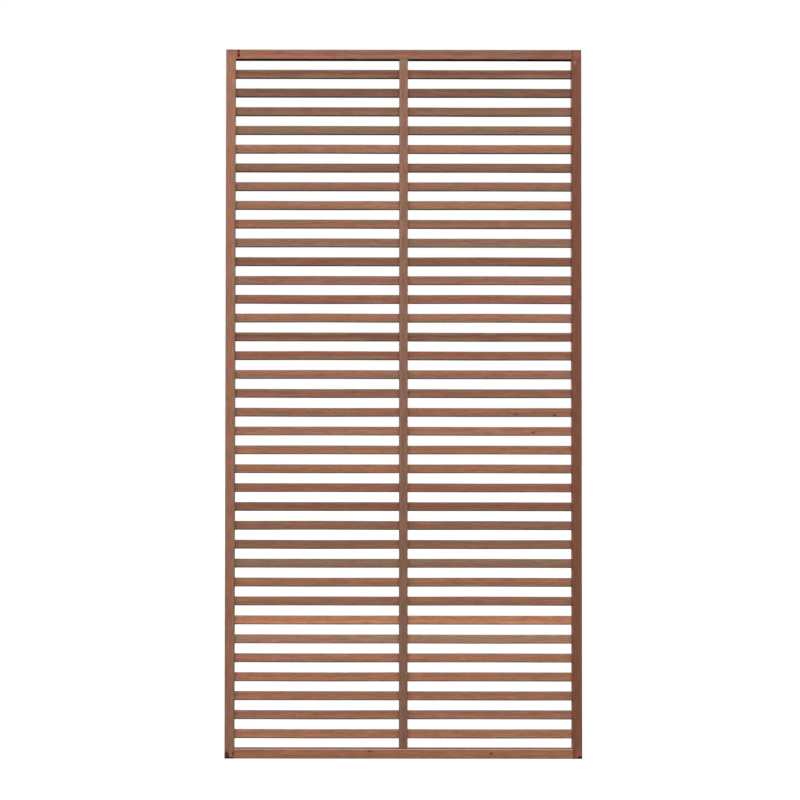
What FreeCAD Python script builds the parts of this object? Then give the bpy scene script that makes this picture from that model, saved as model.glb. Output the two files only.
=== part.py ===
import FreeCAD, Part
import os
import Sketcher

# Garden privacy screen, in millimetres: a hardwood frame of two full-height stiles and two rails,
# filled with thin horizontal slats. The slats run through both bays. Their ends are let into the
# stiles, and a batten on either side of them makes the mullion up the middle.
# x runs across the front, y from the front to the back and z up. The origin is at the bottom
# centre of the panel, halfway through its depth.

document = FreeCAD.newDocument("PrivacyScreen")
sheet = document.addObject("Spreadsheet::Sheet", "Sizes")

driving_sizes = (
    ("panel_width", 900, "across both stiles"),
    ("panel_height", 1790, "length of the stiles"),
    ("frame_depth", 30, "front to back of stiles and rails"),
    ("stile_face", 24.5, "width of a stile seen from the front"),
    ("rail_face", 24.5, "width of a rail seen from the front"),
    ("slat_face", 22.5, "width of a slat seen from the front"),
    ("slat_thickness", 10, "front to back of a slat, halfway through the frame"),
    ("slat_count", 36, "slats, with equal gaps between them and to the rails"),
    ("housing_depth", 10, "how deep the slots in the stiles are cut"),
    ("housing_gap", 0.5, "play between a slat's end and the bottom of its slot"),
    ("mullion_face", 21.5, "width of the battens seen from the front"),
    ("arris_radius", 1, "rounding along every piece of wood"),
    ("corner_screw_shank", 4.5, "diameter"),
    ("corner_screw_head", 8, "diameter of the countersunk head"),
    ("corner_screw_bite", 40, "reach into the end of a rail"),
    ("corner_screw_spacing", 14, "between the two screws of a corner, through the depth"),
    ("mullion_screw_shank", 3.5, "diameter"),
    ("mullion_screw_head", 6.5, "diameter of the countersunk head"),
    ("mullion_screw_bite", 20, "reach into the end of a batten"),
    ("screw_sink", 1, "screw heads lie this far below the wood"),
    ("pin_shank", 1.6, "diameter of the pins that hold the slats"),
    ("pin_head", 3, "diameter"),
    ("pin_head_height", 0.8, "height of the straight head, which lies flush with the wood"),
    ("fastener_clearance", 0.05, "between a fastener and its hole, all round"),
)
for row, (alias, value, note) in enumerate(driving_sizes, start=1):
    sheet.set(f"A{row}", alias)
    sheet.set(f"B{row}", str(value))
    sheet.set(f"C{row}", note)
    sheet.setAlias(f"B{row}", alias)
document.recompute()

# Sizes and places that follow from the driving ones. A pin goes halfway into the front piece, and
# through the middle of the slat's end where that lies in its slot.
rail_length = "(Sizes.panel_width - 2 * Sizes.stile_face)"
batten_length = "(Sizes.panel_height - 2 * Sizes.rail_face)"
batten_thickness = "((Sizes.frame_depth - Sizes.slat_thickness) / 2)"
slat_length = f"({rail_length} + 2 * (Sizes.housing_depth - Sizes.housing_gap))"
slat_pitch = f"(({batten_length} + Sizes.slat_face) / (Sizes.slat_count + 1))"
corner_screw_length = "(Sizes.stile_face + Sizes.corner_screw_bite)"
mullion_screw_length = "(Sizes.rail_face + Sizes.mullion_screw_bite)"
pin_length = f"(Sizes.frame_depth - {batten_thickness} / 2)"
stile_offset = "((Sizes.panel_width - Sizes.stile_face) / 2)"
batten_offset = f"((Sizes.slat_thickness + {batten_thickness}) / 2)"
pin_inset = "((Sizes.stile_face - Sizes.housing_depth) / 2)"
pin_offset = f"({stile_offset} - {pin_inset})"
lowest_slat = f"(Sizes.rail_face + {slat_pitch} - Sizes.slat_face / 2)"
back_face = "(Sizes.frame_depth / 2)"
rail_heights = {-1: "Sizes.rail_face / 2", 1: "Sizes.panel_height - Sizes.rail_face / 2"}

# Rows of like things: an axis, the distance from the first to the last, and their number.
slat_row = ("Z_Axis", f"(Sizes.slat_count - 1) * {slat_pitch}", "Sizes.slat_count")
corner_row = ("Z_Axis", "Sizes.panel_height - Sizes.rail_face", "2")
corner_pair = ("Y_Axis", "Sizes.corner_screw_spacing", "2")
batten_pair = ("Y_Axis", f"2 * {batten_offset}", "2")
pin_row = ("X_Axis", f"2 * {pin_offset}", "3")

full_turn = 360
nodes = []


def new_body(node, x="0", y="0", z="0"):
    body = document.addObject("PartDesign::Body", node)
    body.Label = node
    body.AllowCompound = True
    for axis, place in zip("xyz", (x, y, z)):
        body.setExpression(f"Placement.Base.{axis}", place)
    nodes.append(body)
    return body


def origin_part(body, role):
    for part in body.Origin.OriginFeatures:
        if part.Role == role:
            return part


def new_sketch(body, plane, x="0", y="0", above="0", turn=0):
    sketch = body.newObject("Sketcher::SketchObject", f"{body.Name}_sketch")
    sketch.AttachmentSupport = (origin_part(body, plane), [""])
    sketch.MapMode = "FlatFace"
    sketch.AttachmentOffset = FreeCAD.Placement(
        FreeCAD.Vector(), FreeCAD.Rotation(FreeCAD.Vector(0, 0, 1), turn))
    for axis, place in zip("xyz", (x, y, above)):
        sketch.setExpression(f"AttachmentOffset.Base.{axis}", place)
    return sketch


def bind(sketch, name, constraint, expression):
    index = sketch.addConstraint(constraint)
    sketch.renameConstraint(index, name)
    sketch.setExpression(f"Constraints.{name}", expression)


def add_outline(sketch, points):
    for start, end in zip(points, points[1:] + points[:1]):
        sketch.addGeometry(Part.LineSegment(FreeCAD.Vector(*start), FreeCAD.Vector(*end)))
    for line in range(len(points)):
        following = (line + 1) % len(points)
        sketch.addConstraint(Sketcher.Constraint("Coincident", line, 2, following, 1))


def rectangle(sketch, width, height):
    # Its centre lies on the sketch's origin.
    add_outline(sketch, [(-2, -1), (2, -1), (2, 1), (-2, 1)])
    for line in (0, 2):
        sketch.addConstraint(Sketcher.Constraint("Horizontal", line))
        sketch.addConstraint(Sketcher.Constraint("Vertical", line + 1))
    sketch.addConstraint(Sketcher.Constraint("Symmetric", 0, 1, 2, 1, -1, 1))
    bind(sketch, "width", Sketcher.Constraint("DistanceX", 0, 1, 0, 2, 4), width)
    bind(sketch, "height", Sketcher.Constraint("DistanceY", 1, 1, 1, 2, 2), height)


def turned_profile(sketch, stations):
    # Half the section of a shape turned about the sketch's x axis. Each station is a depth along
    # that axis and a radius there, and an empty text stands for nought.
    points = [(depth + 1, 1 if radius else 0) for depth, (_, radius) in enumerate(stations)]
    add_outline(sketch, points)
    for index, (depth, radius) in enumerate(stations):
        if depth:
            along = Sketcher.Constraint("DistanceX", -1, 1, index, 1, index + 1)
            bind(sketch, f"depth_{index}", along, depth)
        else:
            sketch.addConstraint(Sketcher.Constraint("PointOnObject", index, 1, -2))
        if radius:
            bind(sketch, f"radius_{index}", Sketcher.Constraint("DistanceY", -1, 1, index, 1, 1), radius)
        else:
            sketch.addConstraint(Sketcher.Constraint("PointOnObject", index, 1, -1))


def add_feature(body, kind, sketch, **settings):
    feature = body.newObject(f"PartDesign::{kind}", f"{body.Name}_{kind.lower()}")
    feature.Profile = sketch
    for name, setting in settings.items():
        setattr(feature, name, setting)
    return feature


def add_bar(body, plane, width, height, length, side_type="Symmetric"):
    # A straight length of wood with its section on the plane, and its four long edges eased.
    section = new_sketch(body, plane)
    rectangle(section, width, height)
    pad = add_feature(body, "Pad", section, SideType=side_type)
    pad.setExpression("Length", length)
    document.recompute()
    normal = section.Placement.Rotation.multVec(FreeCAD.Vector(0, 0, 1))
    long_edges = []
    for number, edge in enumerate(pad.Shape.Edges, start=1):
        if abs(edge.tangentAt(edge.FirstParameter).dot(normal)) > 0.5:
            long_edges.append(f"Edge{number}")
    fillet = body.newObject("PartDesign::Fillet", f"{body.Name}_arrises")
    fillet.Base = (pad, long_edges)
    fillet.setExpression("Radius", "Sizes.arris_radius")


def add_turned(body, kind, stations, **place):
    # A turned shape or hole, which starts at the place and runs along the sketch's x axis.
    sketch = new_sketch(body, **place)
    turned_profile(sketch, stations)
    return add_feature(body, kind, sketch, ReferenceAxis=(sketch, ["H_Axis"]), Angle=full_turn)


def repeat(body, feature, *rows):
    pattern = body.newObject("PartDesign::LinearPattern", f"{feature.Name}_row")
    pattern.Originals = [feature]
    for number, (axis, distance, count) in zip(("", "2"), rows):
        setattr(pattern, f"Direction{number}", (origin_part(body, axis), [""]))
        pattern.setExpression(f"Length{number}", distance)
        pattern.setExpression(f"Occurrences{number}", count)
    body.Tip = pattern


def screw_stations(kind, length, clearance=""):
    # Countersunk at a right angle, so the head is as high as it stands out from the shank. With a
    # clearance it is the screw's hole, which is open to the surface and flat at the bottom.
    shank = f"Sizes.{kind}_screw_shank / 2"
    head = f"Sizes.{kind}_screw_head / 2"
    top = "Sizes.screw_sink"
    neck = f"{top} + {head} - {shank}"
    if not clearance:
        tip = f"{length} - Sizes.{kind}_screw_shank"
        return [(top, ""), (top, head), (neck, shank), (tip, shank), (length, "")]
    bottom = f"{length} + {clearance}"
    return [
        ("", ""), ("", f"{head} + {clearance}"), (top, f"{head} + {clearance}"),
        (neck, f"{shank} + {clearance}"), (bottom, f"{shank} + {clearance}"), (bottom, "")]


def pin_stations(clearance=""):
    # A straight head on a straight shank. With a clearance it is the pin's hole.
    extra = f" + {clearance}" if clearance else ""
    head = f"Sizes.pin_head / 2{extra}"
    shank = f"Sizes.pin_shank / 2{extra}"
    under_head = f"Sizes.pin_head_height{extra}"
    outline = [("", ""), ("", head), (under_head, head), (under_head, shank)]
    if clearance:
        return outline + [(f"{pin_length}{extra}", shank), (f"{pin_length}{extra}", "")]
    return outline + [(f"{pin_length} - Sizes.pin_shank", shank), (pin_length, "")]


def add_corner_screw(body, kind, stations, side, outer_edge, middle):
    # The front one of two, level with the middle of the rail and pointing into the panel.
    return add_turned(
        body, kind, stations, plane="XY_Plane", x=f"{side} * {outer_edge}",
        y="-Sizes.corner_screw_spacing / 2", above=middle, turn=180 if side > 0 else 0)


def add_mullion_screw(body, kind, stations, end, outer_edge, forward="0"):
    # The plane's normal points to the front. A screw at the lower end (-1) points up.
    return add_turned(
        body, kind, stations, plane="XZ_Plane", y=outer_edge, above=forward, turn=-90 * end)


def add_pin(body, kind, stations, x="0", back="0", height="0"):
    # It points from the back to the front.
    return add_turned(body, kind, stations, plane="XY_Plane", x=x, y=back, above=height, turn=-90)


play = "Sizes.fastener_clearance"
corner_screw = screw_stations("corner", corner_screw_length)
corner_hole = screw_stations("corner", corner_screw_length, play)
mullion_screw = screw_stations("mullion", mullion_screw_length)
mullion_hole = screw_stations("mullion", mullion_screw_length, play)
pin = pin_stations()
pin_hole = pin_stations(play)

# Stiles, with a slot for each slat in the inner edge. The side is -1 on the left and 1 on the right.
for node, side in (("stile_left", -1), ("stile_right", 1)):
    stile = new_body(node, x=f"{side} * {stile_offset}")
    add_bar(stile, "XY_Plane", "Sizes.stile_face", "Sizes.frame_depth", "Sizes.panel_height", "One side")
    slot = new_sketch(stile, "YZ_Plane", y=lowest_slat, above=f"{-side} * Sizes.stile_face / 2")
    rectangle(slot, "Sizes.slat_thickness", "Sizes.slat_face")
    housing = add_feature(stile, "Pocket", slot, Reversed=side > 0)
    housing.setExpression("Length", "Sizes.housing_depth")
    repeat(stile, housing, slat_row)
    hole = add_pin(stile, "Groove", pin_hole, f"{-side} * {pin_inset}", back_face, lowest_slat)
    repeat(stile, hole, slat_row)
    hole = add_corner_screw(
        stile, "Groove", corner_hole, side, "Sizes.stile_face / 2", rail_heights[-1])
    repeat(stile, hole, corner_pair, corner_row)

# Rails, butted between the stiles. The end is -1 at the bottom of the panel and 1 at the top.
for node, end in (("rail_bottom", -1), ("rail_top", 1)):
    rail = new_body(node, z=rail_heights[end])
    add_bar(rail, "YZ_Plane", "Sizes.frame_depth", "Sizes.rail_face", rail_length)
    for side in (-1, 1):
        hole = add_corner_screw(rail, "Groove", corner_hole, side, "Sizes.panel_width / 2", "0")
        repeat(rail, hole, corner_pair)
    hole = add_mullion_screw(
        rail, "Groove", mullion_hole, end, f"{end} * Sizes.rail_face / 2", batten_offset)
    repeat(rail, hole, batten_pair)

# Mullion battens, between the rails and flat against the slats. The side is -1 at the front.
batten_ends = {-1: "-Sizes.rail_face", 1: f"{batten_length} + Sizes.rail_face"}
for node, side in (("mullion_front", -1), ("mullion_back", 1)):
    batten = new_body(node, y=f"{side} * {batten_offset}", z="Sizes.rail_face")
    add_bar(batten, "XY_Plane", "Sizes.mullion_face", batten_thickness, batten_length, "One side")
    for end, outer_edge in batten_ends.items():
        add_mullion_screw(batten, "Groove", mullion_hole, end, outer_edge)
    hole = add_pin(
        batten, "Groove", pin_hole, back=f"{back_face} - {side} * {batten_offset}",
        height=f"{lowest_slat} - Sizes.rail_face")
    repeat(batten, hole, slat_row)

# Slats, numbered from the lowest, with a pin at either end and one in the mullion.
for number in range(int(sheet.slat_count)):
    slat = new_body(f"slat_{number + 1:02d}", z=f"{lowest_slat} + {number} * {slat_pitch}")
    add_bar(slat, "YZ_Plane", "Sizes.slat_thickness", "Sizes.slat_face", slat_length)
    hole = add_pin(slat, "Groove", pin_hole, f"-{pin_offset}", back_face)
    repeat(slat, hole, pin_row)

# Fasteners, one node for each kind and place.
for node, x in (("pins_left", f"-{pin_offset}"), ("pins_mullion", "0"), ("pins_right", pin_offset)):
    pins = new_body(node, x, back_face, lowest_slat)
    repeat(pins, add_pin(pins, "Revolution", pin), slat_row)

screws = new_body("corner_screws")
for side in (-1, 1):
    screw = add_corner_screw(
        screws, "Revolution", corner_screw, side, "Sizes.panel_width / 2", rail_heights[-1])
    repeat(screws, screw, corner_pair, corner_row)

screws = new_body("mullion_screws")
for end, outer_edge in ((-1, "0"), (1, "Sizes.panel_height")):
    screw = add_mullion_screw(screws, "Revolution", mullion_screw, end, outer_edge, batten_offset)
    repeat(screws, screw, batten_pair)

document.recompute()
for item in document.Objects:
    if "Invalid" in item.State or "Error" in item.State:
        raise RuntimeError(f"{item.Name} failed: {item.State}")
for body in nodes:
    if body.Shape.isNull() or not body.Shape.isValid():
        raise RuntimeError(f"{body.Label} has no sound shape")

os.makedirs("parts", exist_ok=True)
for body in nodes:
    body.Shape.exportStep(f"parts/{body.Label}.step")
    print(f"{body.Label}: {len(body.Shape.Solids)} solids, {body.Shape.Volume:.1f} mm3")
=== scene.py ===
import math
import random

import bmesh
import bpy
from mathutils import Matrix, Vector, noise


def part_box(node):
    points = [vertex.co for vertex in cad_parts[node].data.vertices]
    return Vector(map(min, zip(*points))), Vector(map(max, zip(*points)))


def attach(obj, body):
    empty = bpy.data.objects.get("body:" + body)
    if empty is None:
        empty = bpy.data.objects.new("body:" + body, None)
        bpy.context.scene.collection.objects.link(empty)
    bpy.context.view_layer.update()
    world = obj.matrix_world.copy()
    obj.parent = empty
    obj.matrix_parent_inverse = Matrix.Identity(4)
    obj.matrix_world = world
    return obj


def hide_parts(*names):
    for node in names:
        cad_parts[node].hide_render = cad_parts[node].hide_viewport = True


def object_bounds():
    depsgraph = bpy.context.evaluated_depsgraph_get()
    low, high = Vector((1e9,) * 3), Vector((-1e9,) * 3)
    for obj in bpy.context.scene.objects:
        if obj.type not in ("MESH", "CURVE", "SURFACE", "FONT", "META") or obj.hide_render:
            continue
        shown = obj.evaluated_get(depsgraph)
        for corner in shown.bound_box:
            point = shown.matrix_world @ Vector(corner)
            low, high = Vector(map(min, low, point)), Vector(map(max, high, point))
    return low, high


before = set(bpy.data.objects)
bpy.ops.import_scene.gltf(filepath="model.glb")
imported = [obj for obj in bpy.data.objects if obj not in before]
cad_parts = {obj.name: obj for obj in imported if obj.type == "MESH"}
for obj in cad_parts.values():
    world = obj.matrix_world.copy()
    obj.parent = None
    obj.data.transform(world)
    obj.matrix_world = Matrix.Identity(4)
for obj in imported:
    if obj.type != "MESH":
        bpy.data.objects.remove(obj)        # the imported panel: 42 boards and five groups of fasteners
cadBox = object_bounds()

mm = 0.001
body = "root"            # nothing on the panel moves, so every piece rides on this one


def linear(hexText):                # sRGB to the linear colour that a shader takes
    channels = [int(hexText[place:place + 2], 16) / 255 for place in (1, 3, 5)]
    return [c / 12.92 if c <= 0.04045 else ((c + 0.055) / 1.055) ** 2.4 for c in channels] + [1]


def addNode(tree, kind, feeds=None, stops=None, **settings):
    node = tree.nodes.new("ShaderNode" + kind)
    for setting, value in settings.items():
        setattr(node, setting, value)
    for socket, feed in (feeds or {}).items():
        if isinstance(feed, bpy.types.NodeSocket):
            tree.links.new(feed, node.inputs[socket])
        else:
            node.inputs[socket].default_value = feed
    for number, (place, colour) in enumerate(stops or []):
        elements = node.color_ramp.elements
        stop = elements[number] if number < 2 else elements.new(place)
        stop.position = place
        stop.color = colour
    return node


def newMaterial(name):
    material = bpy.data.materials.new(name)
    material.use_nodes = True
    material.node_tree.nodes.clear()
    return material, material.node_tree


def addPiece(name, shape, material, slotName, *nodes):
    mesh = bpy.data.meshes.new(name)
    bmesh.ops.recalc_face_normals(shape, faces=shape.faces)
    shape.to_mesh(mesh)
    shape.free()
    mesh.materials.append(material)
    piece = bpy.data.objects.new(name, mesh)
    bpy.context.scene.collection.objects.link(piece)
    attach(piece, body)
    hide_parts(*nodes)
    return piece


# the camera stands where it did for the photograph, fitted to the edges of the panel
camera = {
    "place": (-0.189, -5.465, 0.801),   # metres
    "pitch": 1.379,                     # degrees up, which narrows the panel towards the top
    "yaw": -0.094,
    "roll": 0.077,
    "lens": 97.19,                      # mm on a 36 mm sensor
    "shift": (0.0847, -0.015),
}


def placeCamera(look):
    data = bpy.data.cameras.new("camera")
    data.lens = look["lens"]
    data.shift_x, data.shift_y = look["shift"]
    holder = bpy.data.objects.new("camera", data)
    bpy.context.scene.collection.objects.link(holder)
    yaw = Matrix.Rotation(math.radians(look["yaw"]), 4, "Z")
    tilt = Matrix.Rotation(math.radians(90 + look["pitch"]), 4, "X")
    roll = Matrix.Rotation(math.radians(look["roll"]), 4, "Z")
    holder.matrix_world = Matrix.Translation(look["place"]) @ yaw @ tilt @ roll
    bpy.context.scene.camera = holder


studio = {
    "suns": {                  # a soft lamp far off: strength, width in degrees, azimuth, height
        "front": (2.5, 90, -8, 30),
        "top": (0.9, 60, 10, 65),
        "rearLeft": (1.7, 40, -142, 14),
        "rearRight": (1.7, 40, 142, 14),
        "left": (0.7, 60, -95, 12),
        "right": (0.7, 60, 95, 12),
    },
    "surround": "#262628",     # what lights the panel from the dim room
    "backdrop": "#FFFFFF",
    "floor": "#5C5C5A",        # with its glow it shows as white paper, and no brighter
    "floorGlow": 0.93,
    "floorWidth": 120,         # metres
}


def lightStudio(look):
    for name, (strength, width, azimuth, height) in look["suns"].items():
        data = bpy.data.lights.new(name, "SUN")
        data.energy = strength
        data.angle = math.radians(width)
        lamp = bpy.data.objects.new(name, data)
        bpy.context.scene.collection.objects.link(lamp)
        lamp.rotation_euler = (math.radians(90 - height), 0, math.radians(azimuth))
    world = bpy.data.worlds.new("studio")
    world.use_nodes = True
    tree = world.node_tree
    tree.nodes.clear()
    room = addNode(tree, "Background", {"Color": linear(look["surround"]), "Strength": 1})
    backdrop = addNode(tree, "Background", {"Color": linear(look["backdrop"]), "Strength": 1})
    seen = addNode(tree, "LightPath").outputs["Is Camera Ray"]
    mixed = addNode(tree, "MixShader", {0: seen, 1: room.outputs[0], 2: backdrop.outputs[0]})
    addNode(tree, "OutputWorld", {"Surface": mixed.outputs[0]})
    bpy.context.scene.world = world
    bpy.context.scene.view_settings.view_transform = "Standard"


def layFloor(look):                 # matt paper, which shows no shine and no seam at the back
    material, tree = newMaterial("matPalePaper")
    surface = addNode(tree, "BsdfPrincipled", {
        "Base Color": linear(look["floor"]), "Roughness": 0.9, "Specular IOR Level": 0.2,
        "Emission Color": linear(look["backdrop"]), "Emission Strength": look["floorGlow"]})
    addNode(tree, "OutputMaterial", {"Surface": surface.outputs[0]})
    shape = bmesh.new()
    bmesh.ops.create_grid(shape, x_segments=2, y_segments=2, size=look["floorWidth"] / 2)
    bmesh.ops.translate(shape, vec=(0, 0, -0.2 * mm), verts=shape.verts)
    mesh = bpy.data.meshes.new("floor")
    shape.to_mesh(mesh)
    shape.free()
    mesh.materials.append(material)
    floor = bpy.data.objects.new("floor", mesh)
    floor.visible_diffuse = False     # the undersides of the boards stay as dark as in the photograph
    floor.visible_glossy = False
    bpy.context.scene.collection.objects.link(floor)


placeCamera(camera)
lightStudio(studio)
layFloor(studio)
print("camera, lights and floor are up")


# planed merbau under penetrating oil, which leaves it satin and shows the open vessels
shades = {
    "olive": "#98785E",
    "brown": "#9B6951",
    "red": "#A35C43",
    "orange": "#B17252",
    "pink": "#AC7766",
    "deep": "#834E3C",
    "russet": "#80482C",
    "bark": "#7C2E06",
    "resin": "#5A1602",
    # dark for knots and stains, and for painted shade along the slats' lower edges and on the bottom
    # rail's top
    "stainAndShade": "#2A130E",
    # the pale colour of painted light on top faces and of a painted highlight along an arris
    "paintedHighlight": "#D2A088",
}
grain = {
    # millimetres along and across the grain, and the detail of each pattern
    "drift": (130, 24, 1),
    "blotch": (75, 10, 2),
    "tint": (40, 4.5, 1),
    "streak": (34, 2.6, 2),
    "fibre": (14, 0.8, 2),
}
growth = {
    "ringWidth": 2.2,      # mm
    "driftReach": 9,       # mm that the bands of colour wander across a board
    "vesselLength": 14,    # mm, open pores cut lengthwise
    "vesselWidth": 1.1,    # mm between neighbours; a pore is a quarter as wide
    "pore": 0.6,           # what is left of the light in a pore
    "thirstAndShade": 0.6,         # and on end grain, which drinks more oil, and on the arrises, where it is painted shade
    "contrast": {"streak": 0.2, "fibre": 0.15, "ring": 0.12},
    "clouding": 0.65,      # how far a cloud hides the bands under it
    "reddest": "#FFEDE8",  # the tint of a red streak and of an olive one
    "greenest": "#F4FAEE",
    "paintedTopLight": 0.35,        # painted light: how far the faces that look up are paled towards the light shade
    "paintedUndershade": 0.35,          # painted shade: what is left of the light on the lower arrises and the faces that look down
    "sheen": 0.5,          # how much the oiled face shines
    "dullSheen": 0.1,      # and the matt bark, knots, stains and painted shade bands
    "dull": ("bark", "resin", "stainAndShade"),
    "roughness": (0.5, 0.66),
    "relief": 0.12,        # mm between the fibres and the pores
}


def oiledMerbau(name, board):
    material, tree = newMaterial(name)
    along, seed = board["along"], board["seed"]
    turn = math.radians(90) if along == 2 else 0
    middle = Matrix.Rotation(turn, 3, "Y") @ (board["middle"] / mm)
    texture = addNode(tree, "TexCoord")
    inBoard = addNode(tree, "Mapping", {
        "Vector": texture.outputs["Object"], "Location": -middle,
        "Rotation": (0, turn, 0), "Scale": (1 / mm, 1 / mm, 1 / mm)}).outputs[0]
    pattern, patternColour = {}, {}
    for key, (length, width, detail) in grain.items():
        stretched = addNode(tree, "Mapping", {
            "Vector": inBoard, "Location": (seed, seed * 0.7, -seed * 0.4),
            "Scale": (1 / length, 1 / width, 1 / width)})
        made = addNode(tree, "TexNoise", {
            "Vector": stretched.outputs[0], "Scale": 1, "Detail": detail, "Roughness": 0.5})
        pattern[key] = made.outputs["Fac"]
        patternColour[key] = made.outputs["Color"]

    # bands of colour round the heart of the log, which lies to one side of the board
    heart = addNode(tree, "VectorMath", {
        0: inBoard, 1: (0, 1, 1), 2: (0, *board["heart"])}, operation="MULTIPLY_ADD")
    reach = growth["driftReach"]
    wandering = addNode(tree, "VectorMath", {
        0: patternColour["drift"], 1: (0, reach, reach), 2: heart.outputs[0]},
        operation="MULTIPLY_ADD")
    radius = addNode(tree, "VectorMath", {0: wandering.outputs[0]},
                     operation="LENGTH").outputs["Value"]
    centre = math.hypot(*(place + reach / 2 for place in board["heart"]))
    half = board["width"] / mm / 2
    banded = addNode(tree, "MapRange", {
        "Value": radius, "From Min": centre - half, "From Max": centre + half})
    places = (0.08, 0.34, 0.66, 0.92)
    stops = [(place, linear(shades[shade])) for place, shade in zip(places, board["shades"])]
    zoned = addNode(tree, "ValToRGB", {"Fac": banded.outputs[0]}, stops)
    cloud = addNode(tree, "MapRange", {
        "Value": pattern["blotch"], "From Min": 0.45, "From Max": 0.65,
        "To Max": growth["clouding"]})
    clouded = addNode(tree, "Mix", {
        0: cloud.outputs[0], 6: zoned.outputs[0], 7: linear(shades[board["cloud"]])},
        data_type="RGBA")
    tints = [(0.35, linear(growth["greenest"])), (0.65, linear(growth["reddest"]))]
    tint = addNode(tree, "ValToRGB", {"Fac": pattern["tint"]}, tints)
    tinted = addNode(tree, "Mix", {0: 1, 6: clouded.outputs[2], 7: tint.outputs[0]},
                     data_type="RGBA", blend_type="MULTIPLY")

    # lightness: along the board, in streaks and fibres, in the pores and on the end grain, with painted
    # shade on the arrises and on faces that look down
    rings = addNode(tree, "TexNoise", {
        "W": radius, "Scale": 1 / growth["ringWidth"], "Detail": 1}, noise_dimensions="1D")
    vessels = addNode(tree, "Mapping", {
        "Vector": inBoard, "Location": (seed, seed, seed),
        "Scale": (1 / growth["vesselLength"], 1 / growth["vesselWidth"], 1 / growth["vesselWidth"])})
    pores = addNode(tree, "TexVoronoi", {"Vector": vessels.outputs[0], "Scale": 1})
    pore = addNode(tree, "MapRange", {
        "Value": pores.outputs["Distance"], "From Min": 0.1, "From Max": 0.3,
        "To Min": growth["pore"]})
    position = addNode(tree, "SeparateXYZ", {0: inBoard}).outputs[0]
    end = board["length"] / mm / 2
    light = addNode(tree, "MapRange", {
        "Value": position, "From Min": -end, "From Max": end,
        "To Min": board["tone"][0], "To Max": board["tone"][1]}).outputs[0]
    upward = addNode(tree, "SeparateXYZ", {0: texture.outputs["Normal"]}).outputs["Z"]
    facing = addNode(tree, "VectorMath", {0: texture.outputs["Normal"]}, operation="ABSOLUTE")
    parts = addNode(tree, "SeparateXYZ", {0: facing.outputs[0]}).outputs
    across = [parts[axis] for axis in range(3) if axis != along]
    flat = addNode(tree, "Math", {0: across[0], 1: across[1]}, operation="MAXIMUM").outputs[0]
    # darker where the normal leaves the broad faces: painted shade on the arrises, and real thirst on
    # the end grain
    thirstAndShade = addNode(tree, "MapRange", {
        "Value": flat, "From Min": 0.55, "From Max": 0.98, "To Min": growth["thirstAndShade"]})
    pattern["ring"] = rings.outputs["Fac"]
    for key, contrast in growth["contrast"].items():
        spread = addNode(tree, "MapRange", {
            "Value": pattern[key], "From Min": 0.3, "From Max": 0.7,
            "To Min": 1 - contrast, "To Max": 1 + contrast})
        light = addNode(tree, "Math", {0: light, 1: spread.outputs[0]},
                        operation="MULTIPLY").outputs[0]
    # painted shade on whatever faces down, darkest on the undersides
    paintedUndershade = addNode(tree, "MapRange", {
        "Value": upward, "From Min": -0.3, "From Max": -0.8,
        "To Min": 1, "To Max": growth["paintedUndershade"]})
    for source in (pore, thirstAndShade, paintedUndershade):
        light = addNode(tree, "Math", {0: light, 1: source.outputs[0]},
                        operation="MULTIPLY").outputs[0]
    # painted light on the faces that look up
    paintedTopLight = addNode(tree, "MapRange", {
        "Value": upward, "From Min": 0.45, "From Max": 0.95, "To Max": growth["paintedTopLight"]})
    topLitColour = addNode(tree, "Mix", {
        0: paintedTopLight.outputs[0], 6: tinted.outputs[2], 7: linear(shades["paintedHighlight"])}, data_type="RGBA")
    colour = addNode(tree, "VectorMath", {0: topLitColour.outputs[2], "Scale": light},
                     operation="SCALE").outputs[0]

    # knots, bark pockets, stains, and painted shade and highlight lines: each has a place and a reach in
    # millimetres from the middle
    sheen = growth["sheen"]
    for mark in board["marks"]:
        scale = [1 / size for size in mark["reach"]]
        offset = [-place * factor for place, factor in zip(mark["at"], scale)]
        spot = addNode(tree, "Mapping", {"Vector": inBoard, "Location": offset, "Scale": scale})
        ragged = addNode(tree, "VectorMath", {
            0: patternColour["streak"], 1: (0.5, 0.5, 0.5), 2: spot.outputs[0]},
            operation="MULTIPLY_ADD")
        centred = addNode(tree, "VectorMath", {
            0: ragged.outputs[0], 1: (0.25, 0.25, 0.25)}, operation="SUBTRACT")
        distance = addNode(tree, "VectorMath", {0: centred.outputs[0]}, operation="LENGTH")
        cover = addNode(tree, "MapRange", {
            "Value": distance.outputs["Value"], "From Min": 1.1, "From Max": 0.5,
            "To Max": mark["strength"]}, interpolation_type="SMOOTHSTEP")
        colour = addNode(tree, "Mix", {
            0: cover.outputs[0], 6: colour, 7: linear(shades[mark["shade"]])},
            data_type="RGBA").outputs[2]
        if mark["shade"] in growth["dull"]:
            sheen = addNode(tree, "Mix", {0: cover.outputs[0], 2: sheen, 3: growth["dullSheen"]},
                            data_type="FLOAT").outputs[0]

    relief = addNode(tree, "Math", {
        0: pattern["fibre"], 1: 0.6, 2: pore.outputs[0]}, operation="MULTIPLY_ADD")
    bump = addNode(tree, "Bump", {
        "Height": relief.outputs[0], "Strength": 0.6, "Distance": growth["relief"] * mm})
    gloss = addNode(tree, "MapRange", {
        "Value": pattern["fibre"], "From Min": 0.3, "From Max": 0.7,
        "To Min": growth["roughness"][0], "To Max": growth["roughness"][1]})
    surface = addNode(tree, "BsdfPrincipled", {
        "Base Color": colour, "Roughness": gloss.outputs[0], "IOR": 1.5,
        "Specular IOR Level": sheen, "Normal": bump.outputs[0]})
    addNode(tree, "OutputMaterial", {"Surface": surface.outputs[0]})
    return material


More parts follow.
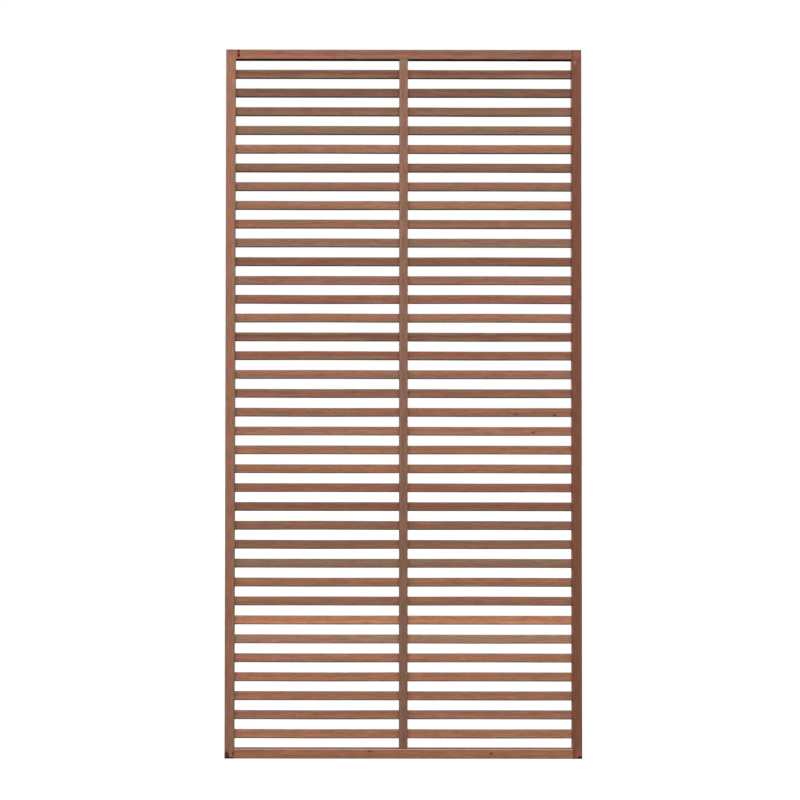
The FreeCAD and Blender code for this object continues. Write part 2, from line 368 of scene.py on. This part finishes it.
# screws and pins are turned about their own axes, from profiles of radius and depth under the head
cornerScrews = {
    "length": 63.5,      # mm
    "head": 8,
    "shank": 4.5,
    "threadLength": 38,
    "threadPitch": 2.4,
    "sink": 1,           # mm below the edge of the stile
    "spacing": 14,       # mm between the two screws in a corner
}
battenScrews = {
    "length": 43.5,
    "head": 6.5,
    "shank": 3.5,
    "threadLength": 18,
    "threadPitch": 1.8,
    "sink": 1,
    "spacing": 20,
}
pins = {
    "length": 25,
    "head": 3,
    "headHeight": 0.8,
    "shank": 1.6,
    "point": 2,
    "inset": 19.5,       # mm from the panel's edge
}
clearance = 0.05         # mm of air round a fastener in its hole


def turnOn(shape, profile, spot, steps):
    place, direction = spot
    verts = [shape.verts.new((radius * mm, 0, depth * mm)) for radius, depth in profile]
    edges = [shape.edges.new(pair) for pair in zip(verts, verts[1:])]
    made = bmesh.ops.spin(shape, geom=verts + edges, cent=(0, 0, 0), axis=(0, 0, 1),
                          angle=math.tau, steps=steps, use_merge=True)
    turned = list({vert for face in shape.faces if not face.tag for vert in face.verts})
    bmesh.ops.remove_doubles(shape, verts=turned, dist=0.001 * mm)
    turned = [vert for vert in turned if vert.is_valid]
    aim = Vector(direction).to_track_quat("Z", "Y").to_matrix().to_4x4()
    bmesh.ops.transform(shape, matrix=Matrix.Translation(place) @ aim, verts=turned)
    for face in shape.faces:
        face.tag = True


def screwHole(screw):
    head, shank = screw["head"] / 2 + clearance, screw["shank"] / 2 + clearance
    return [(0, -screw["sink"] - 1), (head, -screw["sink"] - 1), (head, clearance),
            (shank, clearance + head - shank), (shank, screw["length"] + clearance),
            (0, screw["length"] + clearance)]


def pinHole(pin):
    head, shank = pin["head"] / 2 + clearance, pin["shank"] / 2 + clearance
    return [(0, -1), (head, -1), (head, pin["headHeight"] + clearance),
            (shank, pin["headHeight"] + clearance), (shank, pin["length"] + clearance),
            (0, pin["length"] + clearance)]


panelHigh = cadBox[1]
railMiddle = (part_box("rail_bottom")[0].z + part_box("rail_bottom")[1].z) / 2


def cornerSpots(side):
    edge = side * (panelHigh.x - cornerScrews["sink"] * mm)
    return [((edge, row * cornerScrews["spacing"] * mm / 2, height), (-side, 0, 0))
            for row in (-1, 1) for height in (railMiddle, panelHigh.z - railMiddle)]


def battenSpots(end):
    height = panelHigh.z - battenScrews["sink"] * mm if end > 0 else battenScrews["sink"] * mm
    return [((0, row * battenScrews["spacing"] * mm / 2, height), (0, 0, -end)) for row in (-1, 1)]


def pinSpots(x, heights):
    return [((x, panelHigh.y, height), (0, -1, 0)) for height in heights]


pinColumns = {side: side * (panelHigh.x - pins["inset"] * mm) for side in (-1, 0, 1)}


timber = {
    "ease": 1,           # mm, the arris taken off by hand
    "easeSegments": 3,
    "endEase": 0.35,     # mm on the cut ends
    "waver": 0.1,        # mm that a planed edge wanders inwards
    "waverLength": 45,   # mm
    "loopSpacing": 12,   # mm
}


def sawBoard(low, high, squareEnds=False):
    size = high - low
    along = max(range(3), key=lambda axis: size[axis])
    shape = bmesh.new()
    bmesh.ops.create_cube(shape, size=1)
    bmesh.ops.scale(shape, vec=size, verts=shape.verts)
    bmesh.ops.translate(shape, vec=(low + high) / 2, verts=shape.verts)

    def longEdges():
        return [edge for edge in shape.edges
                if abs((edge.verts[0].co - edge.verts[1].co)[along]) > size[along] / 2]

    bmesh.ops.bevel(shape, geom=longEdges(), offset=timber["ease"] * mm, offset_type="OFFSET",
                    segments=timber["easeSegments"], profile=0.5, affect="EDGES", material=-1)
    if not squareEnds:
        rims = [edge for edge in shape.edges
                if abs((edge.verts[0].co - edge.verts[1].co)[along]) < mm * mm]
        bmesh.ops.bevel(shape, geom=rims, offset=timber["endEase"] * mm, offset_type="OFFSET",
                        segments=2, profile=0.5, affect="EDGES", material=-1)
    cuts = round(size[along] / (timber["loopSpacing"] * mm))
    bmesh.ops.subdivide_edges(shape, edges=longEdges(), cuts=cuts, use_grid_fill=True)
    return shape, along


def wearBoard(shape, along, seed):
    shape.normal_update()
    for vert in shape.verts:
        inwards = -vert.normal
        inwards[along] = 0
        sample = noise.noise(vert.co / (timber["waverLength"] * mm) + Vector((seed, seed, seed)))
        vert.co += inwards * timber["waver"] * mm * (0.5 + 0.5 * sample)


def cutAway(piece, *cuts):
    tool = bmesh.new()
    for profile, spots, steps in cuts:
        for spot in spots:
            turnOn(tool, profile, spot, steps)
    cutWith(piece, tool)


def cutWith(piece, tool):
    bmesh.ops.recalc_face_normals(tool, faces=tool.faces)
    mesh = bpy.data.meshes.new("cutter")
    tool.to_mesh(mesh)
    tool.free()
    cutter = bpy.data.objects.new("cutter", mesh)
    bpy.context.scene.collection.objects.link(cutter)
    cut = piece.modifiers.new("cut", "BOOLEAN")
    cut.object = cutter
    cut.operation = "DIFFERENCE"
    cut.solver = "EXACT"
    whole = piece.data
    piece.data = bpy.data.meshes.new_from_object(
        piece.evaluated_get(bpy.context.evaluated_depsgraph_get()))
    piece.modifiers.remove(cut)
    bpy.data.meshes.remove(whole)
    bpy.data.objects.remove(cutter)
    bpy.data.meshes.remove(mesh)
    piece.data.name = piece.name


def smoothFaces(piece):
    piece.data.shade_smooth()
    piece.data.set_sharp_from_angle(angle=math.radians(35))
    weigh = piece.modifiers.new("flat faces", "WEIGHTED_NORMAL")
    weigh.keep_sharp = True


def boardLook(node, dice, shadeNames, cloud, tone, marks=()):
    low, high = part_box(node)
    size = high - low
    along = max(range(3), key=lambda axis: size[axis])
    across = dice.uniform(60, 110) * (-1 if along == 2 else 1)
    return {"middle": (low + high) / 2, "along": along, "length": size[along],
            "width": size[0 if along == 2 else 2], "heart": (dice.uniform(-25, 25), across),
            "seed": dice.uniform(3, 60), "shades": shadeNames, "cloud": cloud,
            "tone": tone, "marks": marks}


slats = {
    "count": 36,
    "sag": 0.5,         # mm that a slat strays from straight in the middle of a bay
    "straightEnd": 15,  # mm at each end that stays straight in its housing
    "shadeLine": (3, 0.62),   # mm up the front face from its lower edge that is darkened as painted shade, and how dark
    "red": (26, 24, 21, 14, 13),
    "russet": (36, 22),
    "olive": (33, 27, 10, 6),
    "tones": {          # how light the darker and the paler slats are
        0.64: (35,),
        0.83: (34, 31, 26, 19, 13, 12, 11),
        0.93: (30, 28, 18, 10, 8, 2),
        1.1: (32, 29, 23, 17, 16, 5, 4, 1),
        1.3: (6,),
        1.5: (7,),
    },
    "knotDepth": 0.65,  # how dark a knot is
    "knots": {
        # slat: place along and across from its middle, and the knot's length and height
        18: ((283, -4.5, 12, 5), (382, -7, 12, 6)),
        17: ((328, -2.5, 10, 6),),
    },
}


def makeSlats(look):
    dice = random.Random(7)
    for number in range(1, look["count"] + 1):
        node = f"slat_{number:02d}"
        low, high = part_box(node)
        shape, along = sawBoard(low, high, squareEnds=True)
        wearBoard(shape, along, number)
        bay = high.x - look["straightEnd"] * mm
        sags = {side: Vector((0, dice.uniform(-1, 1), dice.uniform(-1, 1))) * look["sag"] * mm
                for side in (-1, 1)}
        for vert in shape.verts:
            side = 1 if vert.co.x > 0 else -1
            if abs(vert.co.x) < bay:
                vert.co += sags[side] * math.sin(math.pi * abs(vert.co.x) / bay) ** 2
        if number in look["red"]:
            core, cloud = ["red", "brown"], "red"
        elif number in look["russet"]:
            core, cloud = ["russet", "brown"], "deep"
        elif number in look["olive"]:
            core, cloud = ["brown", "olive"], "olive"
        else:
            core, cloud = ["brown", "orange"], dice.choice(("pink", "brown", "orange"))
        dice.shuffle(core)
        family = ["olive", *core, "olive"]
        level = next((level for level, numbers in look["tones"].items() if number in numbers), 1)
        tone = [level * dice.uniform(0.96, 1.04) for end in range(2)]
        marks = [{"at": (x, low.y / mm, z), "reach": (length / 2, 3, height / 2),
                  "shade": "stainAndShade", "strength": look["knotDepth"]}
                 for x, z, length, height in look["knots"].get(number, ())]
        # painted shade: a dark band along the lowest millimetres of each slat's front face
        marks.append({"at": (0, low.y / mm, (low.z - high.z) / 2 / mm), "shade": "stainAndShade",
                      "reach": (2000, 18, look["shadeLine"][0]), "strength": look["shadeLine"][1]})
        board = boardLook(node, dice, family, cloud, tone, marks)
        piece = addPiece(f"slat{number:02d}", shape, oiledMerbau(f"merbauSlat{number:02d}", board),
                         "slat_hardwood", node)
        spots = [spot for x in pinColumns.values() for spot in pinSpots(x, [(low.z + high.z) / 2])]
        cutAway(piece, (pinHole(pins), spots, 8))
        smoothFaces(piece)


makeSlats(slats)
print("the slats are in")

slatHeights = [sum(corner.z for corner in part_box(f"slat_{number:02d}")) / 2
               for number in range(1, slats["count"] + 1)]
frameBoards = {
    # shades are the bands of colour from the left or the bottom, cloud is what clouds them, and tone is
    # the light at each end; a mark has its shade and strength, its place along the board, in the panel's
    # depth and across the board, and its reach in the same three directions, all in millimetres
    "leftStile": {
        "node": "stile_left", "shades": ("olive", "orange", "orange", "olive"), "cloud": "pink",
        "tone": (0.71, 1.12),
        "marks": (("red", 0.7, 886, -15, -1, 13, 8, 12), ("deep", 0.4, 893, -15, 0, 5, 8, 16),
                  ("stainAndShade", 0.78, -888, -15, 7, 13, 5, 8),
                  ("stainAndShade", 0.8, -894, -15, 1, 4.5, 8, 18), ("bark", 0.9, -882, -15, -10.5, 7, 8, 4.5)),
    },
    "rightStile": {
        "node": "stile_right", "shades": ("russet", "russet", "russet", "deep"), "cloud": "russet",
        "tone": (0.98, 1.1),
        "marks": (("red", 0.7, 884, -15, 0, 12, 8, 12), ("orange", 0.8, 863, -15, 4, 6, 4, 4),
                  ("red", 0.5, -884, -15, -2, 12, 6, 9), ("stainAndShade", 0.85, -892, -15, -7, 6, 6, 8)),
    },
    "topRail": {
        "node": "rail_top", "shades": ("brown", "orange", "red", "olive"), "cloud": "pink",
        "tone": (1.09, 0.79),
        "marks": (("bark", 1, -418.8, -15, 9, 5, 4, 5), ("bark", 1, -418.6, -15, 1.5, 3, 4, 8),
                  ("resin", 1, -418.4, -15, -3.4, 4.2, 4, 5),
                  ("deep", 0.7, 362, -15, -3.6, 14, 3, 2.6)),
    },
    "bottomRail": {
        "node": "rail_bottom", "shades": ("olive", "brown", "orange", "brown"), "cloud": "orange",
        "tone": (0.86, 0.98),
        "marks": (("bark", 0.7, -85, -15, 6.5, 7, 3, 3.6), ("resin", 0.75, 221, -15, 1, 6, 3, 3.4),
                  # the first of these darkens the top face as painted shade, and the second is a painted
                  # highlight along the top front arris
                  ("stainAndShade", 0.8, 0, 8, 12.25, 900, 18, 3),
                  ("paintedHighlight", 0.75, 0, -14.5, 11.3, 900, 2.6, 2.2)),
    },
    "frontBatten": {
        "node": "mullion_front", "shades": ("olive", "brown", "brown", "olive"), "cloud": "pink",
        "tone": (0.66, 1.04),
        "marks": (("olive", 0.9, 862, -15, 0, 9, 6, 11),),
    },
    "backBatten": {
        "node": "mullion_back", "shades": ("deep", "brown", "orange", "olive"), "cloud": "olive",
        "tone": (0.9, 1.0), "marks": (),
    },
}


housing = {
    "endGap": 0.5,       # mm of air beyond a slat's end
    "cutBack": 11,       # mm from a slat's end to just outside the stile's inner face
}


def makeFrame(boards):
    dice = random.Random(11)
    for number, (name, look) in enumerate(boards.items()):
        low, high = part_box(look["node"])
        shape, along = sawBoard(low, high)
        wearBoard(shape, along, 100 + number)
        middle = (low + high) / 2
        marks = [{"at": (x, y - middle.y / mm, z), "reach": reach,
                  "shade": shade, "strength": strength}
                 for shade, strength, x, y, z, *reach in look["marks"]]
        board = boardLook(look["node"], dice, look["shades"], look["cloud"], look["tone"], marks)
        material = oiledMerbau("merbau" + name[0].upper() + name[1:], board)
        piece = addPiece(name, shape, material, "frame_hardwood", look["node"])
        boreBoard(piece, name, middle)
        smoothFaces(piece)


def boreBoard(piece, name, middle):
    side = 1 if middle.x > 0 else -1
    corners = (screwHole(cornerScrews), 16)
    battens = (screwHole(battenScrews), 16)
    if "Stile" in name:
        housings = bmesh.new()
        for number in range(1, slats["count"] + 1):
            low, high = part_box(f"slat_{number:02d}")
            end = side * (high.x + housing["endGap"] * mm)
            inner = side * (high.x - housing["cutBack"] * mm)
            made = bmesh.ops.create_cube(housings, size=1)["verts"]
            bmesh.ops.scale(housings, verts=made,
                            vec=(abs(end - inner), high.y - low.y, high.z - low.z))
            bmesh.ops.translate(housings, verts=made,
                                vec=((end + inner) / 2, (low.y + high.y) / 2, (low.z + high.z) / 2))
        cutWith(piece, housings)
        cutAway(piece, (corners[0], cornerSpots(side), corners[1]),
                (pinHole(pins), pinSpots(pinColumns[side], slatHeights), 12))
    elif "Rail" in name:
        halfway = panelHigh.z / 2
        end = 1 if middle.z > halfway else -1
        spots = [spot for edge in (-1, 1) for spot in cornerSpots(edge)
                 if (spot[0][2] - halfway) * end > 0]
        cutAway(piece, (corners[0], spots, corners[1]), (battens[0], battenSpots(end), battens[1]))
    else:
        spots = [spot for end in (-1, 1) for spot in battenSpots(end) if spot[0][1] * middle.y > 0]
        cutAway(piece, (battens[0], spots, battens[1]),
                (pinHole(pins), pinSpots(pinColumns[0], slatHeights), 12))


makeFrame(frameBoards)
print("the frame is in, housed and bored")


# stainless steel, drawn and cold headed, which leaves it satin with faint drawing lines
steel = {
    "colour": "#C8C5BE",
    "roughness": (0.3, 0.45),
    "lineWidth": 0.4,    # mm; the real lines are finer than a render can show
    "lineDepth": 0.02,   # mm
}
screwForm = {
    "core": 0.68,        # of the shank's radius, at the bottom of the thread
    "rim": 0.25,         # mm, the straight edge of the head
    "runOut": (2, 1.2),  # mm above the thread where the shank steps down to the core
    "bareTip": 6,        # mm without a thread
    "point": 5,          # mm
    "socket": 0.5,       # of the head's radius, both wide and deep
    "lobe": 0.72,        # of the socket's radius, at its six inner corners
    "overcut": 0.5,      # mm above the head where the socket's cutter starts
}


def satinSteel(name, look):
    material, tree = newMaterial(name)
    texture = addNode(tree, "TexCoord")
    lines = addNode(tree, "TexNoise", {
        "Vector": texture.outputs["Object"], "Scale": 1 / (look["lineWidth"] * mm), "Detail": 2})
    gloss = addNode(tree, "MapRange", {
        "Value": lines.outputs["Fac"], "From Min": 0.3, "From Max": 0.7,
        "To Min": look["roughness"][0], "To Max": look["roughness"][1]})
    bump = addNode(tree, "Bump", {
        "Height": lines.outputs["Fac"], "Strength": 0.3, "Distance": look["lineDepth"] * mm})
    surface = addNode(tree, "BsdfPrincipled", {
        "Base Color": linear(look["colour"]), "Metallic": 1, "Roughness": gloss.outputs[0],
        "Normal": bump.outputs[0]})
    addNode(tree, "OutputMaterial", {"Surface": surface.outputs[0]})
    return material


def makeScrews(name, screw, spots, node):
    head, shank, length = screw["head"] / 2, screw["shank"] / 2, screw["length"]
    core = shank * screwForm["core"]
    neck = head - shank + screwForm["rim"]
    stepTop, stepFoot = screwForm["runOut"]
    threadTop = length - screw["threadLength"]
    turns = int((screw["threadLength"] - screwForm["bareTip"]) / screw["threadPitch"])
    thread = [(core if half else shank, threadTop + (turn + half / 2) * screw["threadPitch"])
              for turn in range(turns) for half in (0, 1)]     # rings, as the thread is never seen
    profile = [(0, 0), (head, 0), (head, screwForm["rim"]), (shank, neck),
               (shank, threadTop - stepTop), (core, threadTop - stepFoot), *thread,
               (core, length - screwForm["point"]), (0, length)]
    shape = bmesh.new()
    for spot in spots:
        turnOn(shape, profile, spot, 20)
    piece = addPiece(name, shape, satinSteel("satinStainless" + name[0].upper() + name[1:], steel),
                     "screw_steel", node)
    sockets = bmesh.new()
    for place, direction in spots:
        aim = Vector(direction).to_track_quat("Z", "Y").to_matrix().to_4x4()
        star = bmesh.ops.create_circle(
            sockets, cap_ends=True, radius=head * screwForm["socket"] * mm, segments=12,
            matrix=Matrix.Translation((0, 0, -screwForm["overcut"] * mm)))["verts"]
        for number, vert in enumerate(star):
            if number % 2:
                vert.co.xy *= screwForm["lobe"]
        cap = next(face for face in sockets.faces if star[0] in face.verts)
        grown = bmesh.ops.extrude_face_region(sockets, geom=[cap])["geom"]
        lower = [item for item in grown if isinstance(item, bmesh.types.BMVert)]
        depth = head * screwForm["socket"] + screwForm["overcut"]
        bmesh.ops.translate(sockets, vec=(0, 0, depth * mm), verts=lower)
        bmesh.ops.transform(sockets, matrix=Matrix.Translation(place) @ aim, verts=star + lower)
    cutWith(piece, sockets)
    smoothFaces(piece)


def makePins(name, x, node):
    head, shank, length = pins["head"] / 2, pins["shank"] / 2, pins["length"]
    profile = [(0, 0), (head, 0), (head, pins["headHeight"]), (shank, pins["headHeight"]),
               (shank, length - pins["point"]), (0, length)]
    shape = bmesh.new()
    for spot in pinSpots(x, slatHeights):
        turnOn(shape, profile, spot, 10)
    piece = addPiece(name, shape, satinSteel("satinStainless" + name[0].upper() + name[1:], steel),
                     "pin_steel", node)
    smoothFaces(piece)


makeScrews("cornerScrews", cornerScrews, cornerSpots(-1) + cornerSpots(1), "corner_screws")
makeScrews("battenScrews", battenScrews, battenSpots(-1) + battenSpots(1), "mullion_screws")
for name, side, node in (("leftPins", -1, "pins_left"), ("middlePins", 0, "pins_mullion"),
                         ("rightPins", 1, "pins_right")):
    makePins(name, pinColumns[side], node)
print("the screws and pins are in")
